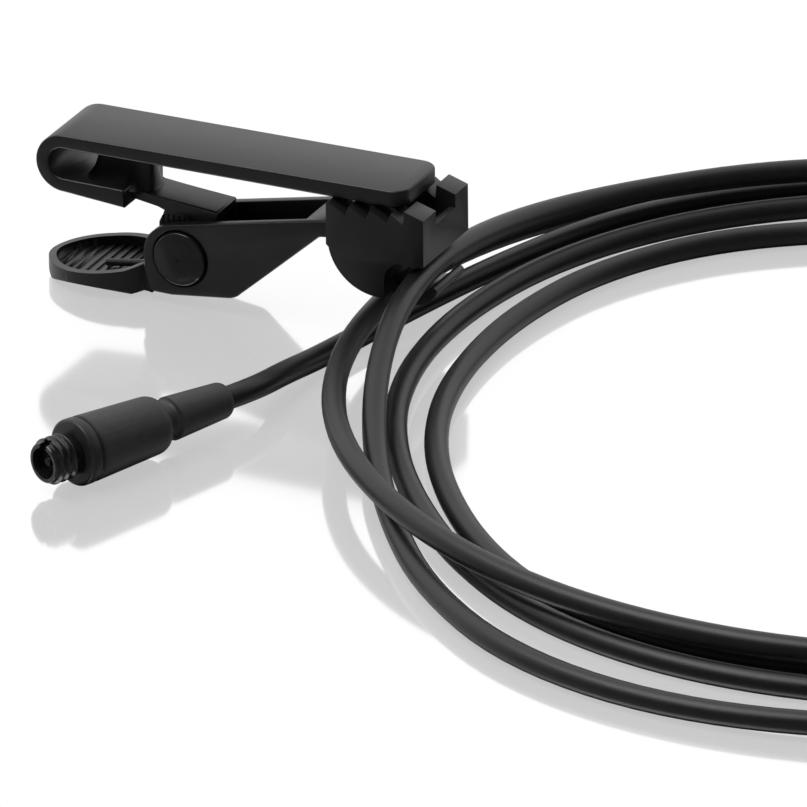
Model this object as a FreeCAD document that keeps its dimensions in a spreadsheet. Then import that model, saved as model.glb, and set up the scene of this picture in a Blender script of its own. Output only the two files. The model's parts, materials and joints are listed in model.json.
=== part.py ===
import FreeCAD, Part
import math
import os
import re
import Sketcher
from FreeCAD import Vector, Placement, Rotation

# A lavalier microphone with its tie clip, its coiled cord and a threaded plug, lying on a surface.
# Millimetres, +Z up. The origin is the middle of the flat under the thumb pad, +X runs from the
# thumb pad to the jaw, and the clip is symmetric about Y = 0.

doc = FreeCAD.newDocument("LavalierMicrophone")
sheet = doc.addObject("Spreadsheet::Sheet", "Sizes")

SIZES = [
    # hinge and upper arm, heights above the hinge axis, drawn level and then pitched
    ("hingeX", 9.75, "hinge axis from the middle of the thumb pad's flat"),
    ("hingeZ", 4.75, "hinge axis above the surface"),
    ("armPitch", 1, "pitch of the closed upper arm, degrees"),
    ("barTop", 10.62, "top of the bar above the hinge"),
    ("barThick", 1.3, "thickness of the bar at the bend"),
    ("barTipThick", 1.6, "thickness of the bar at its free end"),
    ("barEnd", 23.1, "free end of the bar from the hinge"),
    ("bendBack", 11.3, "centre of the bend behind the hinge"),
    ("bendRadius", 2.8, "outer radius of the bend"),
    ("leafThick", 1.3, "thickness of the lower leaf at the bend"),
    ("leafEnd", 5.2, "step at the end of the wide leaf, behind the hinge"),
    ("armHalf", 4.2, "half width of the upper arm"),
    ("barTipHalf", 3.95, "half width of the bar at its free end"),
    ("barCorner", 1.7, "corner radius of the free end in plan"),
    ("tongueHalf", 2.0, "half width of the tongue, web and lug"),
    ("tongueEnd", 3.3, "end of the tongue in front of the hinge"),
    ("tongueTop", 4.66, "top of the tongue's end above the hinge"),
    ("tongueThick", 1.1, "thickness of the tongue"),
    ("webBack", 9.3, "back end of the web"),
    ("webFront", 4.1, "front end of the web, behind the hinge"),
    ("lugRadius", 2.3, "barrel of the lug"),
    ("slotHalf", 1.3, "half width of the spring slot in the lug"),
    ("groovePitch", 0.56, "pitch of the fine grooves on the faces of the lug"),
    ("grooveDeep", 0.12, "depth of the fine grooves"),
    # hinge pin and spring
    ("pinRadius", 1.0, "hinge pin"),
    ("pinPlay", 0.05, "running play of the lug on the pin, radial"),
    ("headRadius", 2.6, "domed head of the pin"),
    ("headRise", 0.65, "head above the face of the cheek"),
    ("headRim", 0.3, "straight rim of the head above the cheek"),
    ("recessDeep", 0.35, "recess of the head in the cheek"),
    ("recessPlay", 0.15, "gap round the head"),
    ("wireRadius", 0.35, "spring wire"),
    ("windRadius", 1.5, "mean radius of the spring"),
    ("windPitch", 1.2, "pitch of the spring"),
    # lower arm
    ("cheekHalf", 3.3, "half width over the cheeks"),
    ("cheekPlay", 0.05, "side play between lug and cheek"),
    ("bossRadius", 3.8, "boss round the hinge"),
    ("floorThick", 0.75, "floor of the channel"),
    ("wallThick", 0.9, "walls of the channel in front of the hinge"),
    ("seamX", 15.5, "seam between lower arm and jaw block in front of the hinge"),
    ("seamTop", 6.7, "top of the arm at the seam above the hinge"),
    ("neckThick", 1.7, "height of the arm at the seam"),
    ("tenonDeep", 3.6, "tenon inside the jaw block"),
    ("tenonHalf", 1.4, "half width of the tenon"),
    ("tenonPlay", 0.03, "glue gap round the tenon"),
    # thumb pad, drawn from the origin
    ("padHalf", 5.1, "half width of the thumb pad"),
    ("padTip", 4.95, "tip of the pad behind the origin"),
    ("padTipRadius", 3.3, "radius of the tip in plan"),
    ("padWaist", 1.0, "widest place of the pad in front of the origin"),
    ("rimThick", 0.75, "rim of the dish"),
    ("rimTop", 1.6, "top of the rim above the surface at the tip"),
    ("dishFloor", 1.2, "floor of the dish above the origin"),
    ("dishTilt", 4.0, "tilt of the dish floor, degrees"),
    ("ribPitch", 0.9, "pitch of the grip ribs"),
    ("ribWide", 0.4, "width of a grip rib"),
    ("ribHigh", 0.16, "height of a grip rib"),
    # jaw block, from the hinge
    ("jawHalf", 4.75, "half width of the jaw block"),
    ("jawFront", 25.3, "front face from the hinge"),
    ("toothPitch", 2.1, "pitch of the teeth"),
    ("toothRoot", 8.2, "roots of the teeth above the hinge"),
    ("toothTop", 9.15, "crests of the teeth above the hinge"),
    ("slotWide", 4.1, "slot between the two rows of teeth"),
    ("cradleX", 23.3, "centre of the cradle from the hinge"),
    ("cradleZ", 2.5, "centre of the cradle above the hinge"),
    ("cradleRadius", 1.95, "bore of the cradle"),
    ("hookThick", 0.8, "thickness of the hook under the cradle"),
    ("hookHalf", 2.9, "half width of the hook"),
    ("plateRadius", 5.1, "round lower edge of the side plates"),
    # plug, from the tip of its nose
    ("plugX", 17.01, "tip of the nose"),
    ("plugY", -45.33, "tip of the nose"),
    ("plugTurn", 66.4, "direction of the plug, degrees from +X"),
    ("collarRadius", 3.1, "collar, which lies on the surface"),
    ("collarStart", 3.3, "start of the collar"),
    ("collarEnd", 4.8, "end of the collar"),
    ("threadRadius", 2.15, "crests of the thread"),
    ("threadRoot", 1.88, "roots of the thread"),
    ("threadPitch", 0.75, "pitch of the thread"),
    ("noseBore", 1.45, "bore of the nose"),
    ("shankRadius", 1.8, "shank of the nose inside collar and body"),
    ("shankEnd", 8.0, "end of the shank"),
    ("sleeveFront", 3.08, "radius of the rubber body at the collar"),
    ("sleeveBack", 2.72, "radius of the rubber body at its back"),
    ("sleeveEnd", 13.3, "back of the rubber body"),
    ("ferruleRadius", 2.0, "crimp ferrule"),
    ("reliefFront", 2.05, "strain relief behind its neck"),
    ("reliefBack", 1.6, "strain relief at its end"),
    ("plugLength", 21.2, "length of the plug with its strain relief"),
    # cord
    ("cordRadius", 1.1, "cord"),
    # capsule, from the end of its boot
    ("capsuleRadius", 1.95, "capsule, as wide as the cradle's bore"),
    ("capsuleWall", 0.35, "wall of the housing"),
    ("bootLength", 3.0, "rubber boot outside the housing"),
    ("capsuleLength", 9.0, "housing"),
    ("grilleLength", 0.8, "grille cap in front of the housing"),
    ("capsuleX", 98.49, "end of the capsule's boot"),
    ("capsuleY", -19.25, "end of the capsule's boot"),
    ("capsuleTurn", 177.5, "direction of the capsule, degrees from +X"),
]

for row, (name, number, meaning) in enumerate(SIZES, 1):
    sheet.set("A%d" % row, name)
    sheet.set("B%d" % row, str(number))
    sheet.set("C%d" % row, meaning)
    sheet.setAlias("B%d" % row, name)
doc.recompute()


# Every alias has a capital inside it, which tells it from cos, sin and sqrt.
def full(text):
    return re.sub(r"\b([a-z]+[A-Z]\w*)\b", r"Sizes.\1", str(text))


def value(text):
    got = sheet.evalExpression(full(text))
    return float(getattr(got, "Value", got))


def bind(thing, place, text):
    thing.setExpression(place, full(text))


def new_body(name):
    body = doc.addObject("PartDesign::Body", name)
    body.Label = name
    return body


def new_sketch(body, name, plane, at=("0", "0", "0"), tilt=None):
    drawing = body.newObject("Sketcher::SketchObject", name)
    support = [o for o in body.Origin.OriginFeatures if o.Role == plane][0]
    drawing.AttachmentSupport = (support, [""])
    drawing.MapMode = "FlatFace"
    if tilt:
        axis, angle = tilt
        drawing.AttachmentOffset = Placement(Vector(0, 0, 0), Rotation(axis, value(angle)))
        bind(drawing, ".AttachmentOffset.Rotation.Angle", angle)
    for letter, text in zip("xyz", at):
        if text != "0":
            bind(drawing, ".AttachmentOffset.Base." + letter, text)
    return drawing


# Closed outline: each corner is (x, y) at the end of a line, or (x, y, radius) at the end of an arc
# that turns left, or right where the radius has a minus sign. All are expressions on the sheet.
def outline(drawing, corners):
    points = [Vector(value(c[0]), value(c[1]), 0) for c in corners]
    ends = []
    for k, corner in enumerate(corners):
        a = points[k - 1]
        b = points[k]
        if len(corner) == 2:
            ends.append((drawing.addGeometry(Part.LineSegment(a, b)), 1, 2))
            continue
        radius = value(corner[2])
        chord = b - a
        side = Vector(-chord.y, chord.x, 0).normalize() * math.copysign(1, radius)
        middle = (a + b) * 0.5
        centre = middle + side * math.sqrt(radius ** 2 - (chord.Length / 2) ** 2)
        first, last = (a, b) if radius > 0 else (b, a)
        start = math.atan2(first.y - centre.y, first.x - centre.x)
        stop = math.atan2(last.y - centre.y, last.x - centre.x)
        if stop < start:
            stop += 2 * math.pi
        circle = Part.Circle(centre, Vector(0, 0, 1), abs(radius))
        index = drawing.addGeometry(Part.ArcOfCircle(circle, start, stop))
        ends.append((index, 1, 2) if radius > 0 else (index, 2, 1))
        rule = drawing.addConstraint(Sketcher.Constraint("Radius", index, abs(radius)))
        bind(drawing, "Constraints[%d]" % rule, "abs(%s)" % corner[2])
    for k, corner in enumerate(corners):
        here = ends[k]
        after = ends[(k + 1) % len(ends)]
        drawing.addConstraint(Sketcher.Constraint("Coincident", here[0], here[2], after[0], after[1]))
        for kind, text in zip(("DistanceX", "DistanceY"), corner):
            rule = drawing.addConstraint(
                Sketcher.Constraint(kind, -1, 1, here[0], here[2], value(text)))
            bind(drawing, "Constraints[%d]" % rule, text)


def ring(drawing, x, y, radius):
    circle = Part.Circle(Vector(value(x), value(y), 0), Vector(0, 0, 1), value(radius))
    index = drawing.addGeometry(circle)
    for kind, text in (("DistanceX", x), ("DistanceY", y)):
        rule = drawing.addConstraint(Sketcher.Constraint(kind, -1, 1, index, 3, value(text)))
        bind(drawing, "Constraints[%d]" % rule, text)
    rule = drawing.addConstraint(Sketcher.Constraint("Radius", index, value(radius)))
    bind(drawing, "Constraints[%d]" % rule, radius)


def box(drawing, left, bottom, right, top):
    outline(drawing, [(right, bottom), (right, top), (left, top), (left, bottom)])


def pad(body, drawing, length, both=True, flip=False):
    feature = body.newObject("PartDesign::Pad", "Pad_" + drawing.Name)
    feature.Profile = drawing
    feature.SideType = "Symmetric" if both else "One side"
    feature.Reversed = flip
    bind(feature, "Length", length)
    doc.recompute()
    return feature


def cut(body, drawing, length, both=True, flip=False):
    before = body.Shape.Volume
    feature = body.newObject("PartDesign::Pocket", "Cut_" + drawing.Name)
    feature.Profile = drawing
    feature.SideType = "Symmetric" if both else "One side"
    feature.Reversed = flip
    bind(feature, "Length", length)
    doc.recompute()
    if body.Shape.Volume > before - 1e-4:
        raise RuntimeError(drawing.Name + " removed nothing")
    return feature


def spin(body, drawing, axis):
    feature = body.newObject("PartDesign::Revolution", "Spin_" + drawing.Name)
    feature.Profile = drawing
    feature.ReferenceAxis = (drawing, [axis])
    feature.Angle = 360
    doc.recompute()
    return feature


HINGE = ("hingeX", "hingeZ", "0")
ARM = (Vector(0, 0, 1), "armPitch")

# Upper arm: bar, round bend and lower leaf are one strip, which the web, the tongue and the lug join.
upper = new_body("upper_arm")
strip = new_sketch(upper, "strip", "XZ_Plane", HINGE, ARM)
outline(strip, [
    ("barEnd", "barTop"),
    ("-bendBack", "barTop"),
    ("-bendBack - bendRadius", "barTop - bendRadius", "bendRadius"),
    ("-bendBack", "barTop - 2 * bendRadius", "bendRadius"),
    ("-leafEnd", "barTop - 2 * bendRadius - 0.6"),
    ("-leafEnd", "barTop - 2 * bendRadius + leafThick - 0.15"),
    ("-bendBack", "barTop - 2 * bendRadius + leafThick"),
    ("-bendBack - bendRadius + (barThick + leafThick) / 2", "barTop - bendRadius",
     "-(2 * bendRadius - barThick - leafThick) / 2"),
    ("-bendBack", "barTop - barThick", "-(2 * bendRadius - barThick - leafThick) / 2"),
    ("barEnd", "barTop - barTipThick"),
])
pad(upper, strip, "2 * armHalf")

spine = new_sketch(upper, "spine", "XZ_Plane", HINGE, ARM)
outline(spine, [
    ("-webFront", "barTop - barThick + 0.4"),
    ("-webBack + 0.8", "barTop - barThick + 0.4"),
    ("-webBack", "barTop - 2 * bendRadius + 0.7"),
    ("-leafEnd - 0.6", "barTop - 2 * bendRadius - 0.3"),
    ("-2.05", "lugRadius + 1.8"),
    ("-lugRadius - 0.45", "lugRadius + 0.3"),
    ("-lugRadius", "0"),
    ("0", "-lugRadius", "lugRadius"),
    ("lugRadius", "0", "lugRadius"),
    ("lugRadius + 0.4", "tongueTop - tongueThick + 0.1"),
    ("tongueEnd - 0.25", "tongueTop - tongueThick"),
    ("tongueEnd", "tongueTop"),
    ("-webFront", "tongueTop + 0.64"),
])
pad(upper, spine, "2 * tongueHalf")

pin_bore = new_sketch(upper, "pin_bore", "XZ_Plane", HINGE)
ring(pin_bore, "0", "0", "pinRadius + pinPlay")
cut(upper, pin_bore, "2 * tongueHalf + 1")

spring_slot = new_sketch(upper, "spring_slot", "XZ_Plane", HINGE)
outline(spring_slot, [
    ("lugRadius + 1.2", "-lugRadius - 0.6"),
    ("lugRadius + 1.2", "0.4"),
    ("windRadius + 0.55", "1.9"),
    ("-3.3", "4.3"),
    ("-5.0", "4.3"),
    ("-5.0", "-lugRadius - 0.6"),
])
cut(upper, spring_slot, "2 * slotHalf")

lug_grooves = new_sketch(upper, "lug_grooves", "XY_Plane",
                         ("hingeX", "0", "hingeZ + tongueTop - tongueThick + 0.1"))
for k in range(10):
    left = "-3.0 + %d * groovePitch" % k
    right = left + " + 0.5 * groovePitch"
    box(lug_grooves, left, "tongueHalf - grooveDeep", right, "tongueHalf + 0.5")
    box(lug_grooves, left, "-tongueHalf - 0.5", right, "-tongueHalf + grooveDeep")
cut(upper, lug_grooves, "1.5", both=False)

sides = new_sketch(upper, "sides", "XY_Plane", ("hingeX", "0", "hingeZ"), (Vector(0, 1, 0), "-armPitch"))
for s, turn in (("", "-"), ("-", "")):
    corner_in = s + "(barTipHalf - barCorner - 0.05)"
    outline(sides, [
        ("-bendBack - bendRadius - 2", s + "armHalf"),
        ("barEnd - barCorner", s + "barTipHalf"),
        ("barEnd + 0.05", corner_in, turn + "(barCorner + 0.05)"),
        ("barEnd + 2", corner_in),
        ("barEnd + 2", s + "(armHalf + 2)"),
        ("-bendBack - bendRadius - 2", s + "(armHalf + 2)"),
    ])
cut(upper, sides, "60")

# Lower arm: two cheeks with a floor between them, a thumb pad behind and a tenon in front.
lower = new_body("lower_arm")
cheeks = new_sketch(lower, "cheeks", "XZ_Plane", HINGE)
outline(cheeks, [
    ("-2.95", "-bossRadius"),
    ("-0.85", "-bossRadius"),
    ("4.9", "-3.05"),
    ("6.1", "-2.4", "2.0"),
    ("8.95", "0.15"),
    ("14.1", "4.8"),
    ("seamX", "seamTop - neckThick"),
    ("seamX", "seamTop"),
    ("-1.35", "3.05"),
    ("-3.35", "1.6", "bossRadius"),
    ("-3.8", "-0.95", "bossRadius + 2"),
])
pad(lower, cheeks, "2 * cheekHalf")

# The oval of the pad is a tip arc and two side arcs that touch it.
AHEAD = "(padWaist + padTip - padTipRadius)"
SIDE = ("((pow(%s; 2) + pow(padHalf; 2) - pow(padTipRadius; 2)) / 2 / (padHalf - padTipRadius))"
        % AHEAD)
SPAN = "(%s - padTipRadius)" % SIDE
TOUCH_X = "(padTipRadius - padTip - padTipRadius * %s / %s)" % (AHEAD, SPAN)
TOUCH_Y = "(padTipRadius * (%s - padHalf) / %s)" % (SIDE, SPAN)
TOUCH_IN_X = "(padTipRadius - padTip - (padTipRadius - rimThick) * %s / %s)" % (AHEAD, SPAN)
TOUCH_IN_Y = "((padTipRadius - rimThick) * (%s - padHalf) / %s)" % (SIDE, SPAN)


def oval_half(x, inset="0"):
    return "(sqrt(pow(%s - %s; 2) - pow(%s - padWaist; 2)) - %s + padHalf)" % (SIDE, inset, x, SIDE)


thumb = new_sketch(lower, "thumb", "XY_Plane")
outline(thumb, [
    (TOUCH_X, TOUCH_Y, SIDE),
    ("-padTip", "0", "padTipRadius"),
    (TOUCH_X, "-" + TOUCH_Y, "padTipRadius"),
    ("5.8", "-" + oval_half("5.8"), SIDE),
    ("6.9", "-cheekHalf"),
    ("6.9", "cheekHalf"),
    ("5.8", oval_half("5.8")),
])
pad(lower, thumb, "3.6", both=False)

over_thumb = new_sketch(lower, "over_thumb", "XZ_Plane")
outline(over_thumb, [
    ("-padTip - 1", "rimTop"),
    ("-padTip + 0.8", "rimTop + 0.25"),
    ("-1.0", "rimTop + 0.5"),
    ("4.4", "rimTop + 1.2"),
    ("6.1", "rimTop + 1.8"),
    ("6.1", "4"),
    ("-padTip - 1", "4"),
])
cut(lower, over_thumb, "4 * padHalf")

under_thumb = new_sketch(lower, "under_thumb", "XZ_Plane")
outline(under_thumb, [
    ("-padTip - 1", "1.1"),
    ("-padTip", "0.9"),
    ("-padTip + 2.4", "-0.1", "6"),
    ("-padTip + 2.2", "-1"),
    ("-padTip - 1", "-1"),
])
cut(lower, under_thumb, "4 * padHalf")

under_neck = new_sketch(lower, "under_neck", "XZ_Plane")
outline(under_neck, [
    ("2.6", "-0.1"),
    ("6.85", "0.8"),
    ("8.0", "0.8"),
    ("8.0", "-1"),
    ("2.6", "-1"),
])
cut(lower, under_neck, "4 * padHalf")

side_bevels = new_sketch(lower, "side_bevels", "YZ_Plane")
for s in ("", "-"):
    outline(side_bevels, [
        (s + "(padHalf - 2.6)", "-0.1"),
        (s + "(padHalf + 0.1)", "1.15"),
        (s + "(padHalf + 1)", "1.15"),
        (s + "(padHalf + 1)", "-0.1"),
    ])
cut(lower, side_bevels, "4 * padTip")

DISH_TILT = (Vector(0, 1, 0), "-dishTilt")
dish = new_sketch(lower, "dish", "XY_Plane", ("0", "0", "dishFloor"), DISH_TILT)
outline(dish, [
    (TOUCH_IN_X, TOUCH_IN_Y, SIDE + " - rimThick"),
    ("-padTip + rimThick", "0", "padTipRadius - rimThick"),
    (TOUCH_IN_X, "-" + TOUCH_IN_Y, "padTipRadius - rimThick"),
    ("5.3", "-" + oval_half("5.3", "rimThick"), SIDE + " - rimThick"),
    ("5.3", oval_half("5.3", "rimThick")),
])
cut(lower, dish, "3", both=False, flip=True)

ribs = new_sketch(lower, "ribs", "XY_Plane", ("0", "0", "dishFloor - 0.05"), DISH_TILT)
for k in range(8):
    left = "(-3.5 + %d * ribPitch)" % k
    reach = "(%s + 0.15)" % oval_half(left, "rimThick")
    box(ribs, left, "-" + reach, left + " + ribWide", reach)
pad(lower, ribs, "ribHigh + 0.05", both=False)

channel = new_sketch(lower, "channel", "XZ_Plane", HINGE)
outline(channel, [
    ("-4.7", "-bossRadius + floorThick - 0.1"),
    ("-0.85", "-bossRadius + floorThick"),
    ("4.8", "-3.05 + floorThick"),
    ("5.5", "-1.9", "2.0"),
    ("8.4", "0.72"),
    ("12.4", "4.35"),
    ("12.4", "9"),
    ("-4.7", "9"),
])
cut(lower, channel, "2 * (tongueHalf + cheekPlay)")

wide_channel = new_sketch(lower, "wide_channel", "XZ_Plane", HINGE)
outline(wide_channel, [
    ("2.9", "-3.3 + floorThick"),
    ("4.8", "-3.05 + floorThick"),
    ("5.5", "-1.9", "2.0"),
    ("8.4", "0.72"),
    ("12.4", "4.35"),
    ("12.4", "9"),
    ("2.9", "9"),
])
cut(lower, wide_channel, "2 * (cheekHalf - wallThick)")

tenon = new_sketch(lower, "tenon", "XZ_Plane", HINGE)
box(tenon, "seamX - 0.5", "seamTop - neckThick + 0.25", "seamX + tenonDeep", "seamTop - 0.15")
pad(lower, tenon, "2 * tenonHalf")

pin_holes = new_sketch(lower, "pin_holes", "XZ_Plane", HINGE)
ring(pin_holes, "0", "0", "pinRadius")
cut(lower, pin_holes, "2 * cheekHalf + 1")

for name, side in (("near_recess", "cheekHalf - recessDeep"), ("far_recess", "-cheekHalf + recessDeep")):
    recess = new_sketch(lower, name, "XZ_Plane", ("hingeX", "hingeZ", side))
    ring(recess, "0", "0", "headRadius + recessPlay")
    cut(lower, recess, "recessDeep + 1", both=False, flip=name == "near_recess")

# Jaw block: two toothed side plates with a round lower edge, an upright at each front corner, and a
# hook that curls round the cradle.
jaw = new_body("jaw_block")
plates = new_sketch(jaw, "plates", "XZ_Plane", HINGE)
edge = [("seamX", "seamTop - neckThick"), ("seamX", "toothTop - 0.1")]
for k in range(4):
    peak = "seamX + 0.2 + %d * toothPitch" % k
    rise = "0.1" if k == 0 else "0"
    edge.append((peak, "toothTop + " + rise))
    edge.append((peak + " + toothPitch - 0.42", "toothRoot"))
edge[-1] = ("jawFront - 2.05", "toothRoot + 0.1")
edge += [
    ("jawFront - 1.95", "toothTop + 0.5"),
    ("jawFront - 0.05", "toothTop - 0.1"),
    ("jawFront", "cradleZ + 2.0"),
    ("cradleX + cradleRadius * cos(62)", "cradleZ + cradleRadius * sin(62)"),
    ("cradleX", "cradleZ + cradleRadius", "cradleRadius"),
    ("cradleX - cradleRadius", "cradleZ", "cradleRadius"),
    ("cradleX - cradleRadius", "cradleZ - 1.75"),
    ("seamX + 0.25", "cradleZ + 2.3", "-plateRadius"),
]
outline(plates, edge)
pad(jaw, plates, "2 * jawHalf")

OUTER = "(cradleRadius + hookThick)"
hook = new_sketch(jaw, "hook", "XZ_Plane", HINGE)
outline(hook, [
    ("cradleX - cradleRadius - 1.2", "cradleZ"),
    ("cradleX - cradleRadius - 1.2", "cradleZ - 0.9"),
    ("cradleX - %s * cos(40)" % OUTER, "cradleZ - %s * sin(40)" % OUTER),
    ("cradleX", "cradleZ - " + OUTER, OUTER),
    ("cradleX + %s * cos(27)" % OUTER, "cradleZ - %s * sin(27)" % OUTER, OUTER),
    ("cradleX + cradleRadius * cos(25)", "cradleZ - cradleRadius * sin(25)", "hookThick * 0.53"),
    ("cradleX", "cradleZ - cradleRadius", "-cradleRadius"),
    ("cradleX - cradleRadius", "cradleZ", "-cradleRadius"),
])
pad(jaw, hook, "2 * hookHalf")

slot = new_sketch(jaw, "slot", "XZ_Plane", HINGE)
outline(slot, [
    ("seamX - 1", "toothRoot - 1.2"),
    ("jawFront - 0.85", "toothRoot - 1.2"),
    ("jawFront - 0.65", "toothRoot - 0.45"),
    ("jawFront + 1", "toothRoot - 0.45"),
    ("jawFront + 1", "toothTop + 2"),
    ("seamX - 1", "toothTop + 2"),
])
cut(jaw, slot, "slotWide")

socket = new_sketch(jaw, "socket", "XZ_Plane", HINGE)
box(socket, "seamX - 1", "seamTop - neckThick + 0.25 - tenonPlay", "seamX + tenonDeep + tenonPlay",
    "seamTop - 0.15 + tenonPlay")
cut(jaw, socket, "2 * (tenonHalf + tenonPlay)")

# Hinge pin with a domed head in the near cheek, and the cap that closes its far end.
PIN = ("hingeX", "0", "hingeZ")
pin = new_body("hinge_pin")
pin_half = new_sketch(pin, "pin_half", "XY_Plane", PIN)
DOME = "((pow(headRadius - 0.2; 2) + pow(headRise - headRim; 2)) / 2 / (headRise - headRim))"
outline(pin_half, [
    ("0", "-cheekHalf - headRise"),
    ("headRadius - 0.2", "-cheekHalf - headRim", DOME),
    ("headRadius", "-cheekHalf - headRim + 0.2", "0.2"),
    ("headRadius", "-cheekHalf + recessDeep"),
    ("pinRadius", "-cheekHalf + recessDeep"),
    ("pinRadius", "cheekHalf - recessDeep"),
    ("pinRadius - 0.2", "cheekHalf"),
    ("0", "cheekHalf"),
])
spin(pin, pin_half, "V_Axis")

cap = new_body("hinge_pin_cap")
cap_half = new_sketch(cap, "cap_half", "XY_Plane", PIN)
outline(cap_half, [
    ("0", "cheekHalf"),
    ("pinRadius - 0.2", "cheekHalf"),
    ("pinRadius", "cheekHalf - recessDeep"),
    ("headRadius", "cheekHalf - recessDeep"),
    ("headRadius", "cheekHalf + headRim - 0.2"),
    ("headRadius - 0.2", "cheekHalf + headRim", "0.2"),
    ("0", "cheekHalf + headRise", DOME),
])
spin(cap, cap_half, "V_Axis")

# Plug: threaded nose, collar, rubber body and strain relief on one axis that lies along the surface.


def lay_on_axis(body, x, y, height, turn):
    body.Placement = Placement(Vector(0, 0, 0), Rotation(Vector(0, 0, 1), value(turn)))
    bind(body, ".Placement.Base.x", x)
    bind(body, ".Placement.Base.y", y)
    bind(body, ".Placement.Base.z", height)
    bind(body, ".Placement.Rotation.Angle", turn)


def turned(name, corners, place):
    body = new_body(name)
    half = new_sketch(body, name + "_half", "XZ_Plane")
    outline(half, corners)
    spin(body, half, "H_Axis")
    lay_on_axis(body, *place)
    return body


PLUG = ("plugX", "plugY", "collarRadius", "plugTurn")
nose_line = [("0", "noseBore"), ("0", "threadRoot - 0.1"), ("0.15", "threadRoot")]
for k in range(3):
    crest = "0.72 + %d * threadPitch" % k
    nose_line += [
        (crest + " - 0.3 * threadPitch", "threadRoot"),
        (crest + " - 0.08 * threadPitch", "threadRadius"),
        (crest + " + 0.08 * threadPitch", "threadRadius"),
        (crest + " + 0.3 * threadPitch", "threadRoot"),
    ]
nose_line += [
    ("collarStart", "threadRoot"),
    ("collarStart", "shankRadius"),
    ("shankEnd", "shankRadius"),
    ("shankEnd", "noseBore"),
]
nose = turned("plug_threaded_nose", nose_line, PLUG)
key_slot = new_sketch(nose, "key_slot", "XY_Plane", ("0", "0", "noseBore - 0.3"))
box(key_slot, "-0.5", "-0.4", "1.1", "0.4")
cut(nose, key_slot, "2", both=False, flip=True)

turned("plug_insulator", [
    ("1.2", "0.45"), ("1.2", "noseBore"), ("shankEnd", "noseBore"), ("shankEnd", "0.45"),
], PLUG)
turned("plug_centre_contact", [
    ("0.45", "0"), ("0.45", "0.25"), ("0.65", "0.45", "-0.2"),
    ("shankEnd + 0.8", "0.45"), ("shankEnd + 0.8", "0"),
], PLUG)
collar_line = [
    ("collarStart", "shankRadius"),
    ("collarStart", "collarRadius - 0.35"),
    ("collarStart + 0.35", "collarRadius", "-0.35"),
    ("collarEnd - 0.45", "collarRadius"),
    ("collarEnd - 0.35", "collarRadius - 0.25"),
    ("collarEnd - 0.2", "collarRadius - 0.25"),
    ("collarEnd - 0.1", "collarRadius - 0.05"),
    ("collarEnd", "collarRadius - 0.05"),
    ("collarEnd", "shankRadius"),
]
turned("plug_collar", collar_line, PLUG)
turned("plug_body", [
    ("collarEnd", "shankRadius"),
    ("collarEnd", "sleeveFront"),
    ("sleeveEnd - 1.2", "sleeveBack"),
    ("sleeveEnd", "sleeveBack - 0.55", "-1.58"),
    ("sleeveEnd", "ferruleRadius"),
    ("shankEnd", "ferruleRadius"),
    ("shankEnd", "shankRadius"),
], PLUG)
turned("plug_ferrule", [
    ("shankEnd + 0.8", "0"), ("shankEnd + 0.8", "ferruleRadius"), ("sleeveEnd - 1", "ferruleRadius"),
    ("sleeveEnd - 1", "0"),
], PLUG)
turned("plug_strain_relief", [
    ("sleeveEnd - 1", "0"),
    ("sleeveEnd - 1", "ferruleRadius"),
    ("sleeveEnd", "ferruleRadius"),
    ("sleeveEnd", "reliefBack"),
    ("sleeveEnd + 0.9", "reliefBack"),
    ("sleeveEnd + 1.3", "reliefFront", "0.55"),
    ("plugLength - 0.8", "reliefBack + 0.1"),
    ("plugLength", "cordRadius", "-0.85"),
    ("plugLength", "0"),
], PLUG)

# Capsule: a housing with an electret element and its small circuit board, a grille in front and a
# rubber boot behind. It lies inside the coil.
CAPSULE = ("capsuleX", "capsuleY", "capsuleRadius", "capsuleTurn")
BORE = "(capsuleRadius - capsuleWall)"
turned("capsule_boot", [
    ("0", "0"),
    ("0", "cordRadius + 0.1"),
    ("0.3", "cordRadius + 0.35", "-0.4"),
    ("bootLength", "capsuleRadius - 0.25"),
    ("bootLength", BORE),
    ("bootLength + 1.4", BORE),
    ("bootLength + 1.4", "0"),
], CAPSULE)
turned("capsule_housing", [
    ("bootLength", BORE),
    ("bootLength", "capsuleRadius - 0.2"),
    ("bootLength + 0.2", "capsuleRadius"),
    ("bootLength + capsuleLength", "capsuleRadius"),
    ("bootLength + capsuleLength", BORE),
], CAPSULE)


# Disc or ring on the capsule's axis, filling the housing's bore unless a radius is given.
def washer(name, start, end, inner="0", outer=BORE):
    turned(name, [(start, inner), (start, outer), (end, outer), (end, inner)], CAPSULE)


FRONT = "bootLength + capsuleLength"
washer("preamp_board", "bootLength + 2.0", "bootLength + 2.6", outer=BORE + " - 0.02")
washer("contact_washer", "bootLength + 2.6", "bootLength + 3.2", "0.9", BORE + " - 0.02")
turned("insulator_cup", [
    ("bootLength + 3.2", "0.3"),
    ("bootLength + 3.2", BORE + " - 0.02"),
    ("bootLength + 5.6", BORE + " - 0.02"),
    ("bootLength + 5.6", BORE + " - 0.35"),
    ("bootLength + 5.2", BORE + " - 0.35"),
    ("bootLength + 5.2", BORE + " - 0.6"),
    ("bootLength + 3.7", BORE + " - 0.6"),
    ("bootLength + 3.7", "0.3"),
], CAPSULE)
washer("backplate", "bootLength + 5.2", "bootLength + 5.6", "0.2", BORE + " - 0.36")
washer("spacer_ring", "bootLength + 5.6", "bootLength + 5.75", BORE + " - 0.4", BORE + " - 0.02")
washer("diaphragm", "bootLength + 5.75", "bootLength + 5.83", outer=BORE + " - 0.02")
washer("diaphragm_ring", "bootLength + 5.83", "bootLength + 6.4", BORE + " - 0.4", BORE + " - 0.02")
washer("capsule_mesh", "bootLength + 6.4", "bootLength + 6.6", outer=BORE + " - 0.02")

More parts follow.
